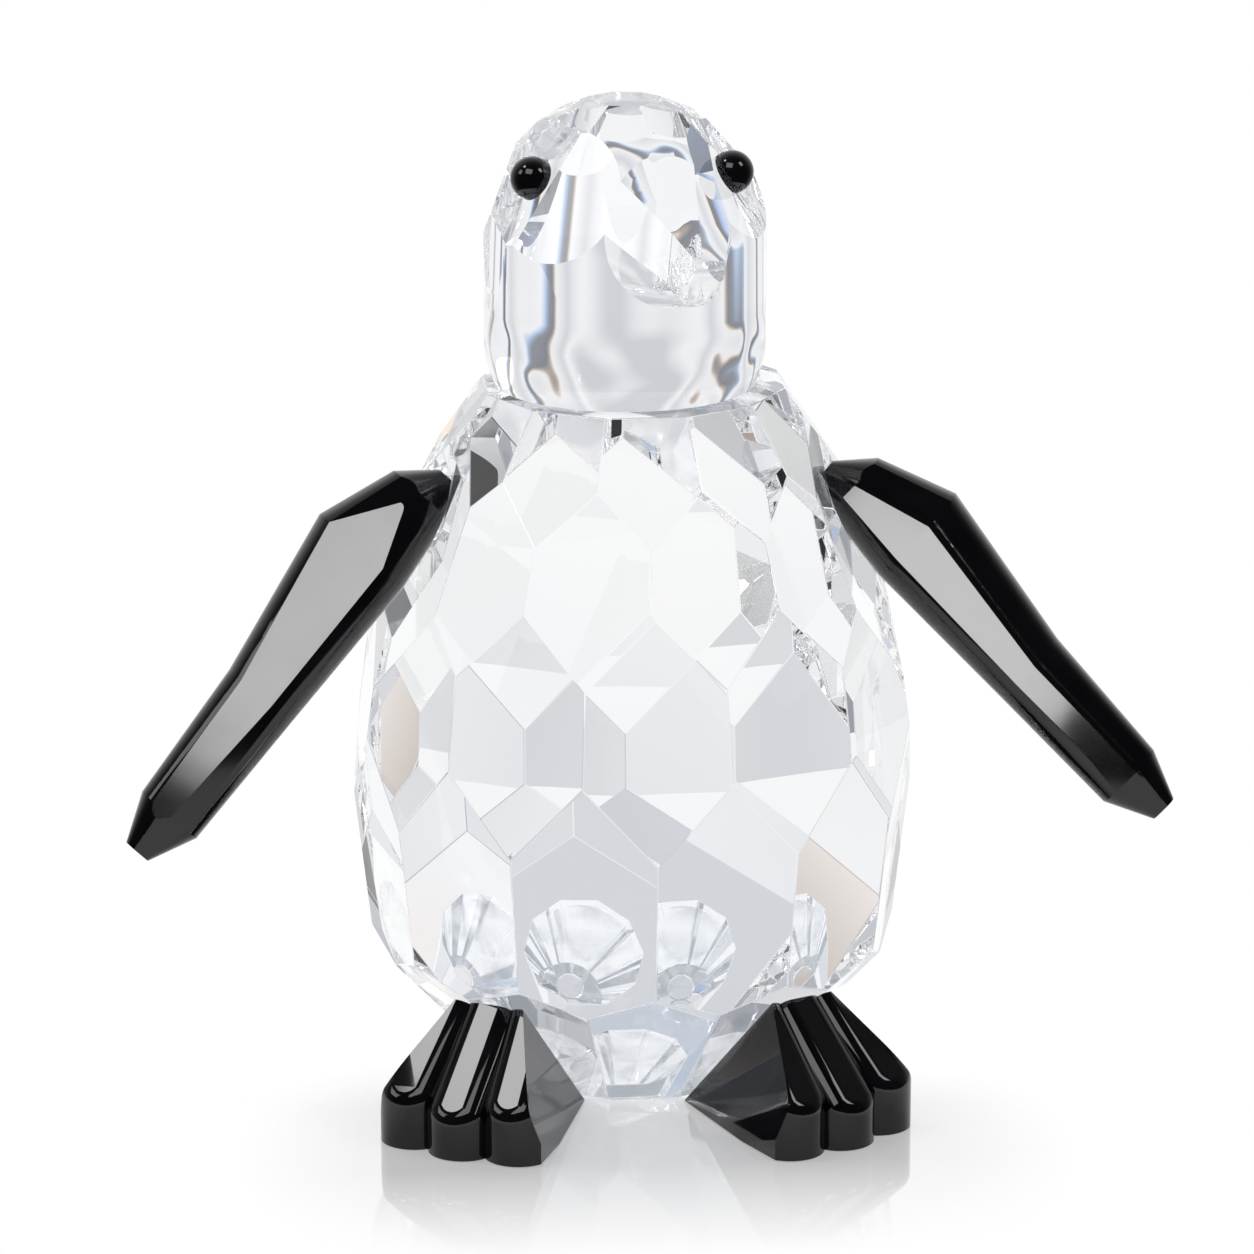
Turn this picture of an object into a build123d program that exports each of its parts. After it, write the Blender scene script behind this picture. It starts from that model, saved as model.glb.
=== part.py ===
from build123d import *
import os
from math import cos, hypot, radians, sin, tan

# A cut-glass penguin: clear body, head and tail, jet-black flippers, feet and eyes, all glued together.
# Millimetres. The penguin looks along -Y, +X is its own left side, and the floor is z = 0.
# Azimuths are degrees from the front towards +X. Slopes are degrees that a flat's outward normal
# rises above level, so a flat with a negative slope faces the floor.

# Body: an egg of revolution with five staggered rings of flats, cut level at the neck and the base
belly_radius = 20.4
belly_height = 24.0
egg_rise = 34.5
egg_drop = 26.0
neck_height = 53.5
facets_per_ring = 12
shoulder_slope = 33.9
chest_slope = 21.5
belly_slope = 7.5
flank_slope = -6.5
underside_slope = -42.1
base_chamfer = 0.6

# Clear adhesive under every glued piece
bond_thickness = 0.12
neck_bond_radius = 8.0
wing_bond_width = 2.2
wing_bond_length = 4.2
foot_bond_width = 3.2
foot_bond_length = 4.6
foot_bond_shift = 1.6
eye_bond_radius = 1.2
tail_bond_radius = 4.0

# Head: an upright barrel under a round dome, with a smooth face and flats round the crown and the back
head_offset = -0.6
head_turn = 15.0
head_radius = 10.5
head_rim_radius = 9.7
head_rim_height = 3.4
dome_height = 11.4
summit_depth = 0.6
crown_facets = 8
face_facets = 3
crown_slope = 66.0
crown_depth = 0.4
nape_slope = 43.0
nape_depth = 0.6
temple_slope = 20.0
temple_depth = 0.7
cheek_slope = 3.0
cheek_depth = 0.3

# Beak: a blunt cone that grows out of the face, with one long flat from the brow to its tip
beak_reach = 16.5
beak_height = 10.6
beak_tilt = 11.0
beak_taper = 25.0
beak_tip_radius = 2.2
beak_length = 12.0
beak_flat_turn = -54.0
beak_flat_slope = 26.0
beak_flat_depth = 0.4

# Eyes: domed cabochons on ground spots
eye_azimuth = 63.5
eye_turn = -11.5
eye_slope = 31.0
eye_spot_depth = 1.35
eye_radius = 1.6
eye_rise = 2.0
eye_edge = 0.5

# Flippers: rounded blades with one long flat, the same piece turned over for the other side, glued to
# ground flats at the shoulders. Reach runs out along the blade, height across it.
wing_azimuth = 75.0
wing_seat_depth = 0.8
wing_root_rise = 2.4
left_wing_droop = 42.3
right_wing_droop = 45.5
wing_heel = 2.3
wing_heel_height = 0.8
wing_root_height = 1.7
wing_root_width = 5.4
wing_root_thickness = 4.4
wing_elbow = 6.0
wing_elbow_height = 2.3
wing_elbow_width = 8.4
wing_elbow_thickness = 5.2
wing_middle = 19.0
wing_middle_height = 0.7
wing_middle_width = 6.1
wing_middle_thickness = 4.4
wing_tip = 30.0
wing_tip_height = -0.1
wing_tip_width = 5.4
wing_tip_thickness = 3.4
wing_length = 33.6
wing_end_share = 0.4
wing_edge_share = 0.47
wing_flat_start = 2.0
wing_flat_start_height = 2.4
wing_flat_start_thickness = 4.9
wing_flat_end = 27.0
wing_flat_end_height = 0.1
wing_flat_end_thickness = 3.85
wing_rim_drop = 0.25
wing_rim_thickness = 2.4
wing_nape = 1.5
wing_nape_height = 5.0
wing_nape_thickness = 1.5

# Feet: wedges with three toes, tucked under the body's front flats
foot_azimuth = 30.0
left_foot_turn = 34.5
left_foot_shift = 0.8
right_foot_turn = 30.0
right_foot_shift = 3.1
foot_length = 13.8
foot_heel_width = 7.2
foot_toe_width = 13.2
foot_height = 9.9
foot_ridge_width = 5.6
foot_blank_height = 30.0
toe_count = 3
toe_width = 4.7
toe_heel_width = 4.2
toe_height = 3.2
toe_bulge = 1.5
toe_lead = 0.7
toe_round = 1.5

# Tail: a flat-sided cone on a ground flat at the back
tail_slope = -29.0
tail_seat_depth = 0.9
tail_radius = 4.75
tail_tip_radius = 1.1
tail_length = 8.6
tail_facets = 10

axis_point = Vector(0, 0, belly_height)
head_base = neck_height + bond_thickness
dome_point = Vector(head_offset, 0, head_base + dome_height)
half_step = 180 / facets_per_ring


def outward(azimuth, slope):
    """Unit vector that leaves the axis at an azimuth and a slope."""
    level = cos(radians(slope))
    return Vector(level * sin(radians(azimuth)), -level * cos(radians(azimuth)), sin(radians(slope)))


def egg_flat(centre, radius, rise, azimuth, slope, depth=0.0):
    """Plane that touches an egg of revolution at a slope, ground deeper by depth; its y axis runs uphill."""
    level = radius * cos(radians(slope))
    steep = rise * sin(radians(slope))
    reach = hypot(level, steep)
    touch = outward(azimuth, 0) * (radius * level / reach) + Vector(0, 0, rise * steep / reach)
    normal = outward(azimuth, slope)
    along = Vector(cos(radians(azimuth)), sin(radians(azimuth)), 0)
    return Plane(origin=centre + touch - normal * depth, x_dir=along, z_dir=normal)


def body_flat(azimuth, slope, depth=0.0):
    """Plane of one of the body's flats."""
    rise = egg_rise if slope > 0 else egg_drop
    return egg_flat(axis_point, belly_radius, rise, azimuth, slope, depth)


def head_flat(azimuth, slope, depth):
    """Plane of one of the head's flats, its azimuth counted from the beak."""
    return egg_flat(dome_point, head_radius, head_radius, head_turn + azimuth, slope, depth)


def plane_through(first, second, third, inside):
    """Plane through three points, facing away from a point inside the piece."""
    normal = (second - first).cross(third - first).normalized()
    if normal.dot(inside - first) > 0:
        normal = normal * -1
    return Plane(origin=first, z_dir=normal)


def wing_seat(side):
    """Ground flat on the body that carries the flipper on one side, 1 for left and -1 for right."""
    return body_flat(side * wing_azimuth, chest_slope, wing_seat_depth)


def foot_seat(side):
    """Flat on the underside of the body that carries the foot on one side."""
    return body_flat(side * foot_azimuth, underside_slope)


def eye_seat(side):
    """Ground spot on the head that carries the eye on one side."""
    return head_flat(eye_turn + side * eye_azimuth, eye_slope, eye_spot_depth)


def tail_seat():
    """Ground flat at the back of the body that carries the tail."""
    return body_flat(180, tail_slope, tail_seat_depth)


def finish(piece, name):
    """Name a finished piece and write its file."""
    piece.part.label = name
    export_step(piece.part, f"parts/{name}.step")


def make_body():
    """Clear egg: rings of flats set half a step apart, level neck and base, ground seats."""
    with BuildPart() as body:
        with BuildSketch(Plane.XY):
            Circle(belly_radius + egg_drop)
        extrude(amount=neck_height)
        rings = (shoulder_slope, chest_slope, belly_slope, flank_slope, underside_slope)
        for ring, slope in enumerate(rings):
            for step in range(facets_per_ring):
                azimuth = (2 * step + ring % 2) * half_step
                split(bisect_by=body_flat(azimuth, slope), keep=Keep.BOTTOM)
        for seat in (wing_seat(1), wing_seat(-1), tail_seat()):
            split(bisect_by=seat, keep=Keep.BOTTOM)
        chamfer(body.faces().sort_by(Axis.Z)[0].edges(), base_chamfer)
    return body


def beak_axes():
    """Forward and upward directions of the beak, and the middle of its round tip."""
    heading = outward(head_turn, -beak_tilt)
    lift = outward(head_turn, 90 - beak_tilt)
    tip = Vector(head_offset, 0, head_base + beak_height) + outward(head_turn, 0) * beak_reach
    return heading, lift, tip - heading * beak_tip_radius


def beak_flat():
    """Long flat from the brow to the tip of the beak, ground into the round tip by a depth."""
    heading, lift, middle = beak_axes()
    normal = outward(head_turn + beak_flat_turn, beak_flat_slope)
    return Plane(origin=middle + normal * (beak_tip_radius - beak_flat_depth), z_dir=normal)


def make_head():
    """Clear barrel with a cut crown, flat cheeks, a beak and two ground spots for the eyes."""
    head_axis = Plane(origin=(head_offset, 0, head_base), x_dir=(1, 0, 0), z_dir=(0, -1, 0))
    heading, lift, middle = beak_axes()
    beak_plane = Plane(origin=middle, x_dir=heading, z_dir=heading.cross(lift))
    taper = radians(beak_taper)
    shoulder = Vector(beak_tip_radius * sin(taper), beak_tip_radius * cos(taper))
    root = beak_tip_radius - beak_length
    root_radius = shoulder.Y + (shoulder.X - root) * tan(taper)
    with BuildPart() as head:
        with BuildSketch(head_axis):
            with BuildLine():
                rim_end = (head_radius, head_rim_height)
                Line((0, 0), (head_rim_radius, 0))
                TangentArc(rim_end, (head_rim_radius, 0), tangent=(0, -1))
                Line(rim_end, (head_radius, dome_height))
                RadiusArc((head_radius, dome_height), (0, dome_height + head_radius), -head_radius)
                Line((0, dome_height + head_radius), (0, 0))
            make_face()
        revolve(axis=Axis((head_offset, 0, 0), (0, 0, 1)))
        split(bisect_by=head_flat(0, 90, summit_depth), keep=Keep.BOTTOM)
        crown_step = 360 / crown_facets
        for step in range(crown_facets):
            between = (step + 0.5) * crown_step
            split(bisect_by=head_flat(between, crown_slope, crown_depth), keep=Keep.BOTTOM)
        first_back = (face_facets + 1) // 2
        back_steps = range(first_back, crown_facets - first_back + 1)
        for step in back_steps:
            split(bisect_by=head_flat(step * crown_step, nape_slope, nape_depth), keep=Keep.BOTTOM)
            split(bisect_by=head_flat(step * crown_step, cheek_slope, cheek_depth), keep=Keep.BOTTOM)
        for step in back_steps[:-1]:
            between = (step + 0.5) * crown_step
            split(bisect_by=head_flat(between, temple_slope, temple_depth), keep=Keep.BOTTOM)
        with BuildSketch(beak_plane):
            with BuildLine():
                Line((root, 0), (root, root_radius))
                Line((root, root_radius), (shoulder.X, shoulder.Y))
                RadiusArc((shoulder.X, shoulder.Y), (beak_tip_radius, 0), beak_tip_radius)
                Line((beak_tip_radius, 0), (root, 0))
            make_face()
        revolve(axis=Axis(middle, heading))
        split(bisect_by=beak_flat(), keep=Keep.BOTTOM)
        for side in (1, -1):
            split(bisect_by=eye_seat(side), keep=Keep.BOTTOM)
    return head


def make_wing(side, droop):
    """Black blade ruled between round-edged oblongs, with a long flat and two more at the shoulder."""
    seat = wing_seat(side).offset(bond_thickness)
    level = outward(side * wing_azimuth, 0)
    lean = radians(droop)
    along = level * cos(lean) - Vector(0, 0, sin(lean))
    above = level * sin(lean) + Vector(0, 0, cos(lean))
    blade = Plane(origin=seat.origin + seat.y_dir * wing_root_rise, x_dir=along, z_dir=along.cross(above))

    def at(reach, height, depth):
        """Point of the blade."""
        return blade.from_local_coords(Vector(reach, height, depth))

    inside = at(wing_elbow, 0, 0)
    heel_size = (wing_root_width * wing_end_share, wing_root_thickness * wing_end_share)
    end_size = (wing_tip_width * wing_end_share, wing_tip_thickness * wing_end_share)
    sections = (
        (-wing_heel, wing_heel_height, *heel_size),
        (0, wing_root_height, wing_root_width, wing_root_thickness),
        (wing_elbow, wing_elbow_height, wing_elbow_width, wing_elbow_thickness),
        (wing_middle, wing_middle_height, wing_middle_width, wing_middle_thickness),
        (wing_tip, wing_tip_height, wing_tip_width, wing_tip_thickness),
        (wing_length, wing_tip_height, *end_size),
    )
    rim_height = wing_elbow_height + wing_elbow_width / 2 - wing_rim_drop
    with BuildPart() as wing:
        for reach, height, width, thickness in sections:
            with BuildSketch(Plane(origin=at(reach, height, 0), x_dir=above, z_dir=along)):
                RectangleRounded(width, thickness, wing_edge_share * thickness)
        loft(ruled=True)
        for face in (1, -1):
            root = at(-wing_heel, wing_root_height, face * wing_flat_start_thickness / 2)
            rim = at(wing_elbow, rim_height, face * wing_rim_thickness / 2)
            nape = at(wing_nape, wing_nape_height, face * wing_nape_thickness / 2)
            split(bisect_by=plane_through(root, rim, nape, inside), keep=Keep.BOTTOM)
        flat_start = at(wing_flat_start, wing_flat_start_height, -wing_flat_start_thickness / 2)
        flat_end = at(wing_flat_end, wing_flat_end_height, -wing_flat_end_thickness / 2)
        split(bisect_by=plane_through(flat_start, flat_end, rim, inside), keep=Keep.BOTTOM)
        split(bisect_by=seat, keep=Keep.TOP)
    return wing


def make_toe(floor, instep, heel_edge, front_edge):
    """One toe: a strip that widens from the heel to a bulging front, its sides and front rounded on top."""
    bulge = (Vector(front_edge[0]) + Vector(front_edge[1])) * 0.5 + Vector(toe_bulge, 0)
    with BuildPart() as toe:
        with BuildSketch(floor):
            with BuildLine():
                Polyline(front_edge[0], heel_edge[0], heel_edge[1], front_edge[1])
                ThreePointArc(front_edge[0], bulge, front_edge[1])
            make_face()
        extrude(amount=foot_blank_height)
        split(bisect_by=instep, keep=Keep.BOTTOM)
        rims = toe.faces().filter_by(instep).edges().sort_by(Axis(floor.origin, floor.x_dir))
        fillet(rims[1:], toe_round)
    return toe


def make_foot(side, turn, shift):
    """Black wedge under the body: three toes side by side, drawn in to a ridge at the top."""
    seat = foot_seat(side).offset(bond_thickness)
    forward = outward(side * turn, 0)
    sideways = Vector(-forward.Y, forward.X, 0) * side
    floor = Plane(origin=sideways * shift, x_dir=forward, z_dir=(0, 0, 1))
    heel = (seat.origin - floor.origin).dot(seat.z_dir) / forward.dot(seat.z_dir)
    ridge = heel - foot_height * seat.z_dir.Z / forward.dot(seat.z_dir)
    front = heel + foot_length
    half_heel = foot_heel_width / 2
    half_toes = foot_toe_width / 2
    toe_end = front + toe_lead + toe_bulge

    def at(reach, across, height):
        """Point of the foot."""
        return floor.from_local_coords(Vector(reach, across, height))

    inside = at((heel + front) / 2, 0, 0)
    ridge_ends = [at(ridge, -half_heel, foot_height), at(ridge, half_heel, foot_height)]
    instep = plane_through(ridge_ends[0], ridge_ends[1], at(toe_end, 0, toe_height), inside)
    toes = []
    for toe in range(toe_count):
        place = 2 * toe / (toe_count - 1) - 1
        lead = front + toe_lead * (1 - abs(place))
        toe_middle = place * (half_toes - toe_width / 2)
        heel_middle = place * (half_heel - toe_heel_width / 2)
        heel_edge = [(heel - foot_heel_width, heel_middle + hand * toe_heel_width / 2) for hand in (-1, 1)]
        front_edge = [(lead, toe_middle + hand * toe_width / 2) for hand in (-1, 1)]
        toes.append(make_toe(floor, instep, heel_edge, front_edge))
    with BuildPart() as foot:
        for toe in toes:
            add(toe.part)
        for hand in (1, -1):
            floor_line = [at(heel, hand * half_heel, 0), at(front, hand * half_toes, toe_height / 2)]
            ridge_end = at(ridge, hand * foot_ridge_width / 2, foot_height)
            flank = plane_through(floor_line[0], floor_line[1], ridge_end, inside)
            split(bisect_by=flank, keep=Keep.BOTTOM)
        split(bisect_by=seat, keep=Keep.TOP)
    return foot


def make_eye(side):
    """Black cabochon: a dome on a short straight edge."""
    seat = eye_seat(side).offset(bond_thickness)
    section = Plane(origin=seat.origin, x_dir=seat.x_dir, z_dir=seat.y_dir * -1)
    dome_rise = eye_rise - eye_edge
    dome_radius = (eye_radius ** 2 + dome_rise ** 2) / (2 * dome_rise)
    with BuildPart() as eye:
        with BuildSketch(section):
            with BuildLine():
                Polyline((0, eye_rise), (0, 0), (eye_radius, 0), (eye_radius, eye_edge))
                RadiusArc((eye_radius, eye_edge), (0, eye_rise), -dome_radius)
            make_face()
        revolve(axis=Axis(seat.origin, seat.z_dir))
    return eye


def make_tail():
    """Clear cone with flat sides and a small flat end."""
    seat = tail_seat().offset(bond_thickness)
    half_corner = radians(180 / tail_facets)
    narrowing = (tail_radius - tail_tip_radius) * cos(half_corner) / tail_length
    with BuildPart() as tail:
        with BuildSketch(seat):
            RegularPolygon(tail_radius, tail_facets)
        extrude(amount=tail_length)
        flanks = tail.faces().filter_by(seat, reverse=True)
        for flank in flanks:
            base = flank.center() - seat.z_dir * (tail_length / 2)
            normal = flank.normal_at() + seat.z_dir * narrowing
            split(bisect_by=Plane(origin=base, z_dir=normal), keep=Keep.BOTTOM)
    return tail


def make_bond(plane, width, length, shift=0.0):
    """Oval film of adhesive on a flat, moved along it by a shift."""
    with BuildPart() as bond:
        with BuildSketch(plane):
            with Locations((shift, 0)):
                Ellipse(width / 2, length / 2)
        extrude(amount=bond_thickness)
    return bond


os.makedirs("parts", exist_ok=True)
finish(make_body(), "body")
finish(make_head(), "head")
finish(make_tail(), "tail")
finish(make_bond(Plane.XY.offset(neck_height), 2 * neck_bond_radius, 2 * neck_bond_radius), "neck_bond")
finish(make_bond(tail_seat(), 2 * tail_bond_radius, 2 * tail_bond_radius), "tail_bond")
sides = (
    ("left", 1, left_wing_droop, left_foot_turn, left_foot_shift),
    ("right", -1, right_wing_droop, right_foot_turn, right_foot_shift),
)
for name, side, droop, turn, shift in sides:
    finish(make_wing(side, droop), f"{name}_wing")
    finish(make_foot(side, turn, shift), f"{name}_foot")
    finish(make_eye(side), f"{name}_eye")
    finish(make_bond(eye_seat(side), 2 * eye_bond_radius, 2 * eye_bond_radius), f"{name}_eye_bond")
    finish(make_bond(wing_seat(side), wing_bond_width, wing_bond_length), f"{name}_wing_bond")
    foot_bond = make_bond(foot_seat(side), foot_bond_width, foot_bond_length, side * foot_bond_shift)
    finish(foot_bond, f"{name}_foot_bond")
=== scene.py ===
"""Looks of a cut-glass penguin figurine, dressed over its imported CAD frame.

Metres, in the frame's own axes: the penguin looks along -Y and +X is its own left side. Azimuths are degrees
from the front towards +X.
"""

from math import cos, pi, radians, sin

import bpy
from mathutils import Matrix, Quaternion, Vector

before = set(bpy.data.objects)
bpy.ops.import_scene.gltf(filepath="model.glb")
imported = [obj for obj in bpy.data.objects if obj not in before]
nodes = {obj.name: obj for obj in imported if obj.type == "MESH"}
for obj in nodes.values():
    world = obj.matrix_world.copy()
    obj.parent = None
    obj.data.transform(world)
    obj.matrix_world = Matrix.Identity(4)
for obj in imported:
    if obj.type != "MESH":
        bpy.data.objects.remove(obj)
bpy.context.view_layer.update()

WHITE = (1, 1, 1, 1)

# Camera, fitted to the photograph
CAMERA_AZIMUTH = -4.971
CAMERA_ELEVATION = 15.996
CAMERA_DISTANCE = 0.49996
CAMERA_SIDE = -0.000433
CAMERA_HEIGHT = 0.034508
CAMERA_LENS = 190.87
SENSOR_WIDTH = 36.0
CLIP_START = 0.01
CLIP_END = 20.0

# Board: pale with a soft shadow near the figurine, white away from it
FLOOR_DROP = 0.0001
FLOOR_RADIUS = 0.075
FLOOR_SIDES = 96
FLOOR_COLOUR = (0.66, 0.66, 0.67, 1.0)
FLOOR_LIFT = 0.58
WHITE_START = 0.02
WHITE_END = 0.038

# Mirror in the board, which fades out in front of the feet and away from a point between them
MIRROR_START = -0.0225
MIRROR_END = -0.041
MIRROR_SHARE = 0.46
MIRROR_MIDDLE = (0, -0.02, 0)
MIRROR_NEAR = 0.022
MIRROR_FAR = 0.031
MIRROR_ROUGHNESS = 0.04

# Studio by direction, from straight behind the figurine (0) to straight in front of it (1): grey and white
# bands, parted by dark seams with a warm and a blue side
SEEN_THROUGH_GLASS = [
    (0.0, (0.66, 0.67, 0.70, 1)),
    (0.03, (0.95, 0.95, 0.96, 1)),
    (0.055, (0.70, 0.71, 0.74, 1)),
    (0.089, (0.94, 0.94, 0.95, 1)),
    (0.092, (0.90, 0.72, 0.56, 1)),
    (0.095, (0.24, 0.24, 0.27, 1)),
    (0.107, (0.30, 0.32, 0.36, 1)),
    (0.112, (0.52, 0.68, 0.95, 1)),
    (0.117, (0.96, 0.96, 0.97, 1)),
    (0.15, (0.72, 0.73, 0.76, 1)),
    (0.197, (0.96, 0.96, 0.97, 1)),
    (0.2005, (0.95, 0.66, 0.42, 1)),
    (0.204, (0.14, 0.14, 0.16, 1)),
    (0.22, (0.18, 0.19, 0.22, 1)),
    (0.227, (0.40, 0.58, 0.95, 1)),
    (0.234, (0.96, 0.96, 0.97, 1)),
    (0.327, (0.90, 0.90, 0.92, 1)),
    (0.3305, (0.95, 0.70, 0.48, 1)),
    (0.334, (0.20, 0.20, 0.23, 1)),
    (0.35, (0.50, 0.52, 0.56, 1)),
    (0.38, (0.95, 0.95, 0.96, 1)),
    (0.562, (0.98, 0.98, 0.98, 1)),
    (0.568, (0.95, 0.62, 0.35, 1)),
    (0.574, (0.22, 0.22, 0.24, 1)),
    (0.588, (0.24, 0.25, 0.28, 1)),
    (0.594, (0.35, 0.58, 0.95, 1)),
    (0.60, (0.80, 0.81, 0.83, 1)),
    (0.8, (0.62, 0.63, 0.65, 1)),
    (1.0, (0.50, 0.50, 0.52, 1)),
]
SEEN_IN_MIRRORS = [
    (0.0, WHITE),
    (0.07, WHITE),
    (0.12, (0.75, 0.75, 0.76, 1)),
    (0.25, (0.5, 0.5, 0.51, 1)),
    (0.42, (0.12, 0.12, 0.125, 1)),
    (0.6, (0.03, 0.03, 0.033, 1)),
    (1.0, (0.02, 0.02, 0.022, 1)),
]
BAND_SCALE = 2.6
BAND_DETAIL = 1.0
BAND_WANDER = 0.12

# Table below and in front, and ceiling above, by the height and depth of a direction
TABLE_COLOUR = (0.86, 0.87, 0.88, 1)
TABLE_TOP = 0.02
TABLE_BOTTOM = -0.1
TABLE_BACK = 0.0
TABLE_FRONT = -0.25
CEILING_COLOUR = (0.36, 0.38, 0.42, 1)
CEILING_START = 0.45
CEILING_END = 0.75
STUDIO_LIGHT = 0.45

# Clear glass, whose noise has the same detail as the adhesive's
FINE_DETAIL = 2.0
CRYSTAL_IOR = 1.54
CRYSTAL_TINTS = [(0.3, WHITE), (0.7, (0.97, 0.985, 1, 1))]
CRYSTAL_GRAIN = 60.0
CRYSTAL_DULLEST = 0.004
CRYSTAL_SHADOW = (0.93, 0.94, 0.95, 1)
CLEAR_EDGE = 0.00009

# Adhesive
ADHESIVE_IOR = 1.5
ADHESIVE_TINTS = [(0.3, (1, 1, 0.99, 1)), (0.7, (0.98, 0.98, 0.96, 1))]
ADHESIVE_GRAIN = 300.0
ADHESIVE_DULLEST = 0.02
ADHESIVE_FILM = 0.03

# Black glass
JET_IOR = 1.52
JET_TINTS = [(0.3, (0.0015, 0.0015, 0.002, 1)), (0.7, (0.004, 0.004, 0.005, 1))]
JET_GRAIN = 180.0
JET_DETAIL = 4.0
JET_WAVES = 130.0
JET_WAVE_DETAIL = 1.0
JET_WAVE_STRENGTH = 0.12
JET_WAVE_HEIGHT = 0.0002
WING_GLOSS = 0.05
WING_DULL = 0.10
FOOT_GLOSS = 0.03
FOOT_DULL = 0.07
BLACK_EDGE = 0.00025

# Edge angles: clear glass is smooth below the cut angle and rounded above it, and black glass is smooth
# below the rolled angle and rounded above the bevel angle
CUT_ANGLE = 11.0
ROLLED_ANGLE = 15.0
BEVEL_ANGLE = 30.0
MERGE_DISTANCE = 0.000002

CLEAR_NODES = ("body", "head", "tail")
WING_NODES = ("left_wing", "right_wing")
FOOT_NODES = ("left_foot", "right_foot")
EYE_NODES = ("left_eye", "right_eye")

# Points that the lamps are turned to
MIDDLE = Vector((0, 0, CAMERA_HEIGHT))
FLIPPER = Vector((0.027, -0.008, 0.035))

# Bounces that a ray needs to find its way out of the cut glass
GLASS_BOUNCES = 40
CLEAR_BOUNCES = 24


def heading(azimuth, elevation):
    """Unit vector from the object towards an azimuth and an elevation."""
    level = cos(radians(elevation))
    return Vector((level * sin(radians(azimuth)), -level * cos(radians(azimuth)), sin(radians(elevation))))


def add_node(tree, kind, **inputs):
    """New node of a kind, with named inputs set."""
    node = tree.nodes.new(kind)
    for name, value in inputs.items():
        node.inputs[name.replace("_", " ")].default_value = value
    return node


def new_material(name):
    """Empty node material, with its tree and its output."""
    material = bpy.data.materials.new(name)
    material.use_nodes = True
    tree = material.node_tree
    tree.nodes.clear()
    return material, tree, tree.nodes.new("ShaderNodeOutputMaterial")


def add_noise(tree, scale, detail):
    """Noise in the frame's own coordinates."""
    place = tree.nodes.new("ShaderNodeTexCoord")
    noise = add_node(tree, "ShaderNodeTexNoise", Scale=scale, Detail=detail)
    tree.links.new(place.outputs["Object"], noise.inputs["Vector"])
    return noise.outputs["Fac"]


def add_ramp(tree, source, stops):
    """Colour ramp over a value, from (position, colour) pairs."""
    ramp = tree.nodes.new("ShaderNodeValToRGB")
    points = ramp.color_ramp.elements
    while len(points) < len(stops):
        points.new(1.0)
    for point, (position, colour) in zip(points, stops):
        point.position = position
        point.color = colour
    tree.links.new(source, ramp.inputs["Fac"])
    return ramp.outputs["Color"]


def add_range(tree, source, low, high, start=0.0, end=1.0, shape="LINEAR"):
    """Value mapped from start..end to low..high."""
    mapped = tree.nodes.new("ShaderNodeMapRange")
    mapped.interpolation_type = shape
    mapped.inputs["From Min"].default_value = start
    mapped.inputs["From Max"].default_value = end
    mapped.inputs["To Min"].default_value = low
    mapped.inputs["To Max"].default_value = high
    tree.links.new(source, mapped.inputs["Value"])
    return mapped.outputs["Result"]


def add_math(tree, operation, first, second):
    """Two values put together by an operation."""
    node = tree.nodes.new("ShaderNodeMath")
    node.operation = operation
    tree.links.new(first, node.inputs[0])
    tree.links.new(second, node.inputs[1])
    return node.outputs["Value"]


def mix_shaders(tree, factor, first, second):
    """Blend of two shaders by a factor."""
    mix = tree.nodes.new("ShaderNodeMixShader")
    tree.links.new(factor, mix.inputs["Fac"])
    tree.links.new(first, mix.inputs[1])
    tree.links.new(second, mix.inputs[2])
    return mix.outputs["Shader"]


def mix_colour(tree, factor, source, colour):
    """Blend from a colour in the tree to a fixed one by a factor."""
    mix = tree.nodes.new("ShaderNodeMix")
    mix.data_type = "RGBA"
    mix.inputs["B"].default_value = colour
    tree.links.new(factor, mix.inputs["Factor"])
    tree.links.new(source, mix.inputs["A"])
    return mix.outputs["Result"]


def make_crystal(name):
    """Clear glass with the faintest cool drift in it, through which lamps shine."""
    material, tree, output = new_material(name)
    glass = add_node(tree, "ShaderNodeBsdfPrincipled", IOR=CRYSTAL_IOR, Transmission_Weight=1.0)
    drift = add_noise(tree, CRYSTAL_GRAIN, FINE_DETAIL)
    tree.links.new(add_ramp(tree, drift, CRYSTAL_TINTS), glass.inputs["Base Color"])
    tree.links.new(add_range(tree, drift, 0.0, CRYSTAL_DULLEST), glass.inputs["Roughness"])
    path = tree.nodes.new("ShaderNodeLightPath")
    shadow = add_node(tree, "ShaderNodeBsdfTransparent", Color=CRYSTAL_SHADOW)
    finish = mix_shaders(tree, path.outputs["Is Shadow Ray"], glass.outputs["BSDF"], shadow.outputs["BSDF"])
    tree.links.new(finish, output.inputs["Surface"])
    return material


def make_adhesive(name):
    """Clear glue: a film so thin, and so close to the glass in its index, that it hardly shows."""
    material, tree, output = new_material(name)
    film = add_node(tree, "ShaderNodeBsdfPrincipled", IOR=ADHESIVE_IOR, Transmission_Weight=1.0)
    film.inputs["Alpha"].default_value = ADHESIVE_FILM
    drift = add_noise(tree, ADHESIVE_GRAIN, FINE_DETAIL)
    tree.links.new(add_ramp(tree, drift, ADHESIVE_TINTS), film.inputs["Base Color"])
    tree.links.new(add_range(tree, drift, 0.0, ADHESIVE_DULLEST), film.inputs["Roughness"])
    tree.links.new(film.outputs["BSDF"], output.inputs["Surface"])
    return material


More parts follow.
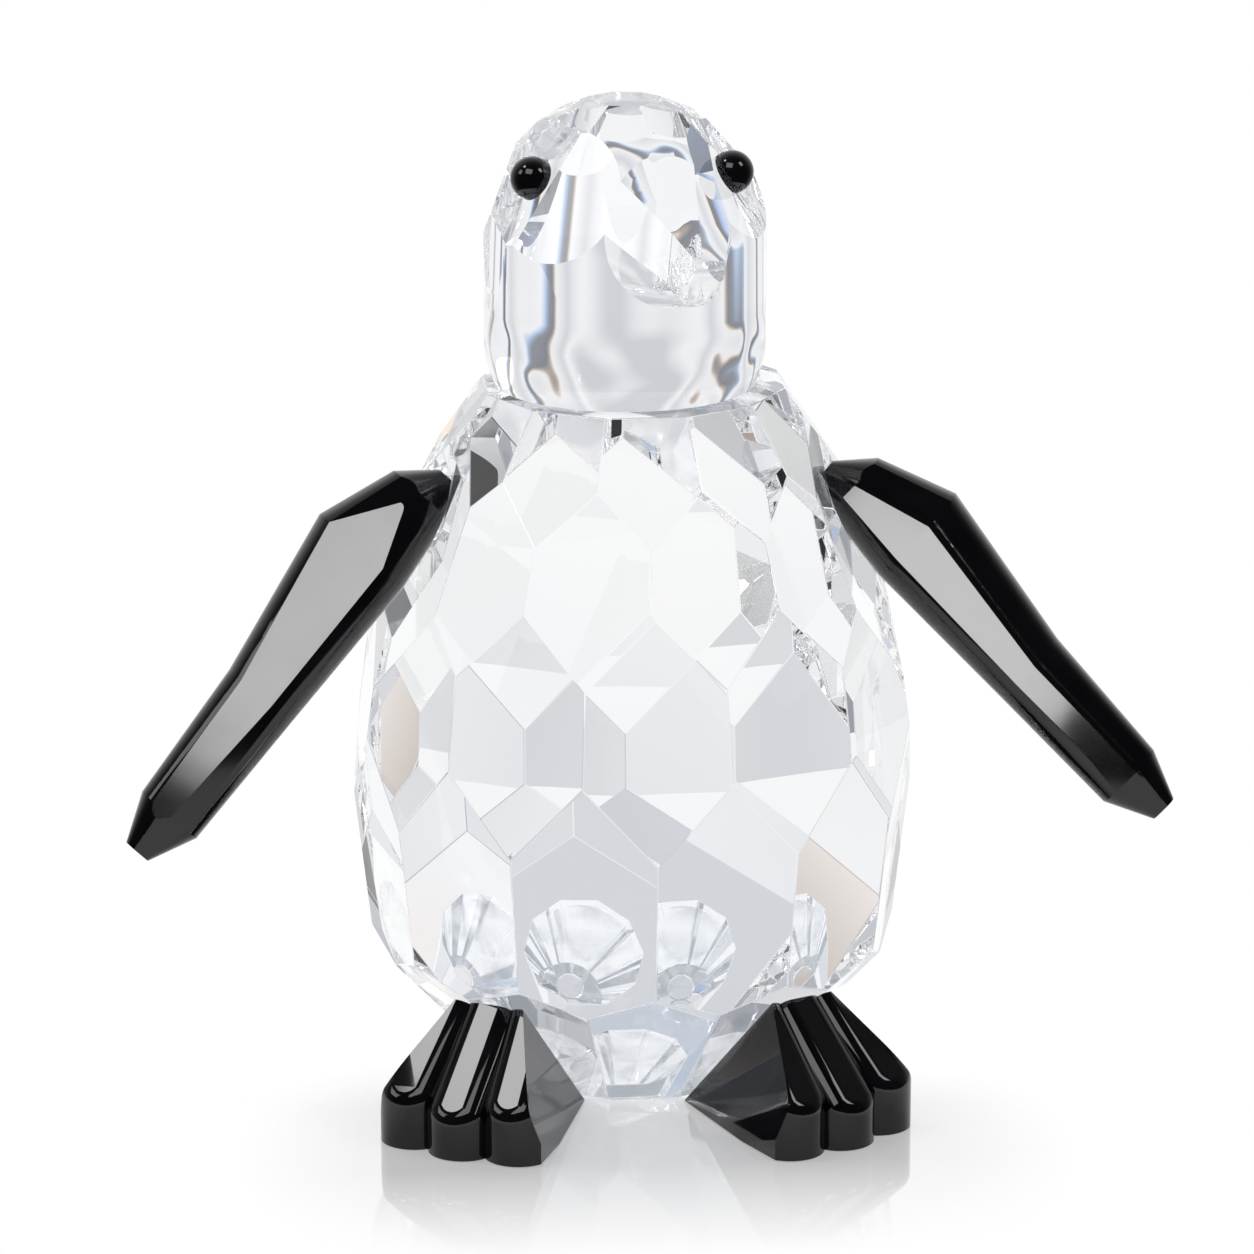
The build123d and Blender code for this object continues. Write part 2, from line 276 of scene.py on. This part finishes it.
def make_jet(name, gloss, dull):
    """Black glass: a fire-polished skin, its roughness between two values, with the gentlest waves."""
    material, tree, output = new_material(name)
    glass = add_node(tree, "ShaderNodeBsdfPrincipled", IOR=JET_IOR)
    drift = add_noise(tree, JET_GRAIN, JET_DETAIL)
    tree.links.new(add_ramp(tree, drift, JET_TINTS), glass.inputs["Base Color"])
    tree.links.new(add_range(tree, drift, gloss, dull), glass.inputs["Roughness"])
    waves = add_noise(tree, JET_WAVES, JET_WAVE_DETAIL)
    bump = add_node(tree, "ShaderNodeBump", Strength=JET_WAVE_STRENGTH, Distance=JET_WAVE_HEIGHT)
    tree.links.new(waves, bump.inputs["Height"])
    tree.links.new(bump.outputs["Normal"], glass.inputs["Normal"])
    tree.links.new(glass.outputs["BSDF"], output.inputs["Surface"])
    return material


def add_seen(tree):
    """1 for rays from the camera, a mirror or glass, 0 for light that falls on the figurine."""
    path = tree.nodes.new("ShaderNodeLightPath")
    glass = add_math(tree, "MAXIMUM", path.outputs["Is Glossy Ray"], path.outputs["Is Transmission Ray"])
    return add_math(tree, "MAXIMUM", path.outputs["Is Camera Ray"], glass)


def add_glow(tree, seen, strength):
    """White that only the camera, mirrors and glass see."""
    glow = tree.nodes.new("ShaderNodeEmission")
    tree.links.new(add_range(tree, seen, 0.0, strength), glow.inputs["Strength"])
    return glow.outputs["Emission"]


def add_board(tree, place):
    """Paint with a soft shadow near the figurine, and plain white away from it."""
    seen = add_seen(tree)
    paint = add_node(tree, "ShaderNodeBsdfDiffuse", Color=FLOOR_COLOUR)
    board = tree.nodes.new("ShaderNodeAddShader")
    tree.links.new(paint.outputs["BSDF"], board.inputs[0])
    tree.links.new(add_glow(tree, seen, FLOOR_LIFT), board.inputs[1])
    distance = tree.nodes.new("ShaderNodeVectorMath")
    distance.operation = "LENGTH"
    tree.links.new(place, distance.inputs[0])
    away = add_range(tree, distance.outputs["Value"], 0.0, 1.0, WHITE_START, WHITE_END, "SMOOTHSTEP")
    shown = add_math(tree, "MULTIPLY", away, seen)
    return mix_shaders(tree, shown, board.outputs["Shader"], add_glow(tree, seen, 1.0))


def add_mirror_share(tree, place):
    """How much of the board is a mirror: most between the feet, none in front of them or far away."""
    split = tree.nodes.new("ShaderNodeSeparateXYZ")
    tree.links.new(place, split.inputs["Vector"])
    share = add_range(tree, split.outputs["Y"], 0.0, MIRROR_SHARE, MIRROR_END, MIRROR_START)
    reach = tree.nodes.new("ShaderNodeVectorMath")
    reach.operation = "DISTANCE"
    reach.inputs[1].default_value = MIRROR_MIDDLE
    tree.links.new(place, reach.inputs[0])
    near = add_range(tree, reach.outputs["Value"], 1.0, 0.0, MIRROR_NEAR, MIRROR_FAR)
    return add_math(tree, "MULTIPLY", share, near)


def make_floor_material(name):
    """White board with a mirror in it."""
    material, tree, output = new_material(name)
    place = tree.nodes.new("ShaderNodeTexCoord").outputs["Object"]
    mirror = add_node(tree, "ShaderNodeBsdfGlossy", Roughness=MIRROR_ROUGHNESS)
    share = add_mirror_share(tree, place)
    finish = mix_shaders(tree, share, add_board(tree, place), mirror.outputs["BSDF"])
    tree.links.new(finish, output.inputs["Surface"])
    return material


def make_floor():
    """Round board under the figurine, whose white edge melts into the white of the studio."""
    mesh = bpy.data.meshes.new("floor")
    turns = [2 * pi * side / FLOOR_SIDES for side in range(FLOOR_SIDES)]
    corners = [(FLOOR_RADIUS * cos(turn), FLOOR_RADIUS * sin(turn), 0) for turn in turns]
    mesh.from_pydata(corners, [], [tuple(range(FLOOR_SIDES))])
    floor = bpy.data.objects.new("floor", mesh)
    floor.location.z = -FLOOR_DROP
    floor.data.materials.append(make_floor_material("white_board"))
    bpy.context.collection.objects.link(floor)


def add_bands(tree, direction, split, front):
    """Studio that glass shows: wandering bands, a table below and in front, and a ceiling above."""
    drift = add_node(tree, "ShaderNodeTexNoise", Scale=BAND_SCALE, Detail=BAND_DETAIL)
    tree.links.new(direction, drift.inputs["Vector"])
    wander = add_range(tree, drift.outputs["Fac"], -BAND_WANDER, BAND_WANDER)
    bands = add_ramp(tree, add_math(tree, "ADD", front, wander), SEEN_THROUGH_GLASS)
    below = add_range(tree, split.outputs["Z"], 0.0, 1.0, TABLE_TOP, TABLE_BOTTOM)
    ahead = add_range(tree, split.outputs["Y"], 0.0, 1.0, TABLE_BACK, TABLE_FRONT)
    table = mix_colour(tree, add_math(tree, "MULTIPLY", below, ahead), bands, TABLE_COLOUR)
    above = add_range(tree, split.outputs["Z"], 0.0, 1.0, CEILING_START, CEILING_END)
    return mix_colour(tree, above, table, CEILING_COLOUR)


def add_background(tree, colour):
    """World of a colour in the tree."""
    background = tree.nodes.new("ShaderNodeBackground")
    tree.links.new(colour, background.inputs["Color"])
    return background.outputs["Background"]


def make_world():
    """Studio: white for the camera, banded for glass, dark in front for mirrors, plain light for the rest.

    Cycles calls a refracted ray glossy as well, so the rays through glass are sorted out after the mirrors'.
    """
    world = bpy.data.worlds.new("studio")
    bpy.context.scene.world = world
    world.use_nodes = True
    tree = world.node_tree
    tree.nodes.clear()
    output = tree.nodes.new("ShaderNodeOutputWorld")
    direction = tree.nodes.new("ShaderNodeTexCoord").outputs["Generated"]
    split = tree.nodes.new("ShaderNodeSeparateXYZ")
    tree.links.new(direction, split.inputs["Vector"])
    front = add_range(tree, split.outputs["Y"], 0.0, 1.0, 1.0, -1.0)
    mirrored = add_background(tree, add_ramp(tree, front, SEEN_IN_MIRRORS))
    through = add_background(tree, add_bands(tree, direction, split, front))
    white = add_node(tree, "ShaderNodeBackground", Color=WHITE, Strength=1.0)
    light = add_node(tree, "ShaderNodeBackground", Color=WHITE, Strength=STUDIO_LIGHT)
    path = tree.nodes.new("ShaderNodeLightPath")
    around = mix_shaders(tree, path.outputs["Is Glossy Ray"], light.outputs["Background"], mirrored)
    around = mix_shaders(tree, path.outputs["Is Transmission Ray"], around, through)
    sky = mix_shaders(tree, path.outputs["Is Camera Ray"], around, white.outputs["Background"])
    tree.links.new(sky, output.inputs["Surface"])


def make_softbox(name, target, azimuth, elevation, distance, width, height, radiance, roll=0, lit=None):
    """Rectangular lamp in a direction and at a distance from the target that it is turned to.

    Where a collection is named as lit, the lamp shines on that alone.
    """
    lamp = bpy.data.lights.new(name, "AREA")
    lamp.shape = "RECTANGLE"
    lamp.size = width
    lamp.size_y = height
    lamp.energy = radiance * pi * lamp.size * lamp.size_y
    box = bpy.data.objects.new(name, lamp)
    towards = heading(azimuth, elevation)
    box.location = target + towards * distance
    box.rotation_mode = "QUATERNION"
    box.rotation_quaternion = towards.to_track_quat("Z", "Y") @ Quaternion((0, 0, 1), radians(roll))
    box.visible_camera = False
    box.light_linking.receiver_collection = lit
    bpy.context.collection.objects.link(box)


def make_group(name, names):
    """Collection of CAD nodes for a lamp to light."""
    group = bpy.data.collections.new(name)
    for node in names:
        group.objects.link(nodes[node])
    return group


def make_lamps():
    """Softboxes round the figurine, and smaller lamps for the black glass alone."""
    flippers = make_group("flippers", WING_NODES)
    window = make_group("window", FOOT_NODES + EYE_NODES)
    make_softbox(
        "key", MIDDLE, azimuth=-79, elevation=32, distance=0.8, width=0.25, height=0.25, radiance=2.8
    )
    make_softbox(
        "fill", MIDDLE, azimuth=60, elevation=45, distance=0.8, width=0.20, height=0.25, radiance=5.0
    )
    make_softbox(
        "window", MIDDLE, azimuth=-25, elevation=48, distance=0.6, width=0.34, height=0.26, radiance=3.0,
        lit=window,
    )
    make_softbox(
        "top", MIDDLE, azimuth=-86, elevation=60, distance=0.7, width=0.12, height=0.10, radiance=10.0
    )
    make_softbox(
        "card", MIDDLE, azimuth=3.78, elevation=2.43, distance=0.6, width=0.064, height=0.034, radiance=12.0,
        roll=48.8, lit=flippers,
    )
    make_softbox(
        "strip", FLIPPER, azimuth=-24.3, elevation=-13.7, distance=0.16, width=0.065, height=0.016,
        radiance=13.0, roll=-40, lit=flippers,
    )


def make_camera():
    """Camera where the photograph was taken."""
    data = bpy.data.cameras.new("camera")
    data.lens = CAMERA_LENS
    data.sensor_width = SENSOR_WIDTH
    data.clip_start = CLIP_START
    data.clip_end = CLIP_END
    camera = bpy.data.objects.new("camera", data)
    back = heading(CAMERA_AZIMUTH, CAMERA_ELEVATION)
    right = Vector((cos(radians(CAMERA_AZIMUTH)), sin(radians(CAMERA_AZIMUTH)), 0))
    camera.location = MIDDLE + right * CAMERA_SIDE + back * CAMERA_DISTANCE
    camera.rotation_mode = "QUATERNION"
    camera.rotation_quaternion = back.to_track_quat("Z", "Y")
    bpy.context.collection.objects.link(camera)
    bpy.context.scene.camera = camera


def dress(names, material):
    """Give CAD nodes one material."""
    for name in names:
        slots = nodes[name].data.materials
        slots.clear()
        slots.append(material)


def make_weld(name, smooth_angle):
    """Node group that welds a mesh's facets and shades the edges gentler than an angle smooth."""
    group = bpy.data.node_groups.new(name, "GeometryNodeTree")
    for direction in ("INPUT", "OUTPUT"):
        group.interface.new_socket("Geometry", in_out=direction, socket_type="NodeSocketGeometry")
    start = group.nodes.new("NodeGroupInput")
    end = group.nodes.new("NodeGroupOutput")
    merge = add_node(group, "GeometryNodeMergeByDistance", Distance=MERGE_DISTANCE)
    plain = add_node(group, "GeometryNodeRemoveAttribute", Name="custom_normal")
    angle = group.nodes.new("GeometryNodeInputMeshEdgeAngle")
    gentle = add_node(group, "FunctionNodeCompare", B=radians(smooth_angle))
    gentle.operation = "LESS_THAN"
    shade = group.nodes.new("GeometryNodeSetShadeSmooth")
    shade.domain = "EDGE"
    steps = (start, merge, plain, shade, end)
    for before, after in zip(steps, steps[1:]):
        group.links.new(before.outputs["Geometry"], after.inputs["Geometry"])
    group.links.new(angle.outputs["Unsigned Angle"], gentle.inputs["A"])
    group.links.new(gentle.outputs["Result"], shade.inputs["Shade Smooth"])
    return group


def smooth_facets(name, smooth_angle):
    """Weld a CAD node's facets and shade its gentle edges smooth."""
    weld = nodes[name].modifiers.new("weld", "NODES")
    weld.node_group = make_weld(f"weld_{name}", smooth_angle)


def round_edges(name, bevel_angle, width):
    """Round off a CAD node's sharp edges by a width."""
    bevel = nodes[name].modifiers.new("edges", "BEVEL")
    bevel.width = width
    bevel.segments = 1
    bevel.limit_method = "ANGLE"
    bevel.angle_limit = radians(bevel_angle)
    bevel.harden_normals = True


dress(CLEAR_NODES, make_crystal("crystal"))
dress(WING_NODES, make_jet("jet_wing", WING_GLOSS, WING_DULL))
dress(FOOT_NODES + EYE_NODES, make_jet("jet_foot", FOOT_GLOSS, FOOT_DULL))
dress([name for name in nodes if name.endswith("_bond")], make_adhesive("adhesive"))
for name in CLEAR_NODES:
    smooth_facets(name, CUT_ANGLE)
    round_edges(name, CUT_ANGLE, CLEAR_EDGE)
for name in WING_NODES + FOOT_NODES:
    smooth_facets(name, ROLLED_ANGLE)
    round_edges(name, BEVEL_ANGLE, BLACK_EDGE)
for name in EYE_NODES:
    smooth_facets(name, ROLLED_ANGLE)
make_floor()
make_world()
make_lamps()
make_camera()

scene = bpy.context.scene
scene.view_settings.view_transform = "Standard"
scene.cycles.max_bounces = GLASS_BOUNCES
scene.cycles.transmission_bounces = GLASS_BOUNCES
scene.cycles.glossy_bounces = GLASS_BOUNCES
scene.cycles.transparent_max_bounces = CLEAR_BOUNCES
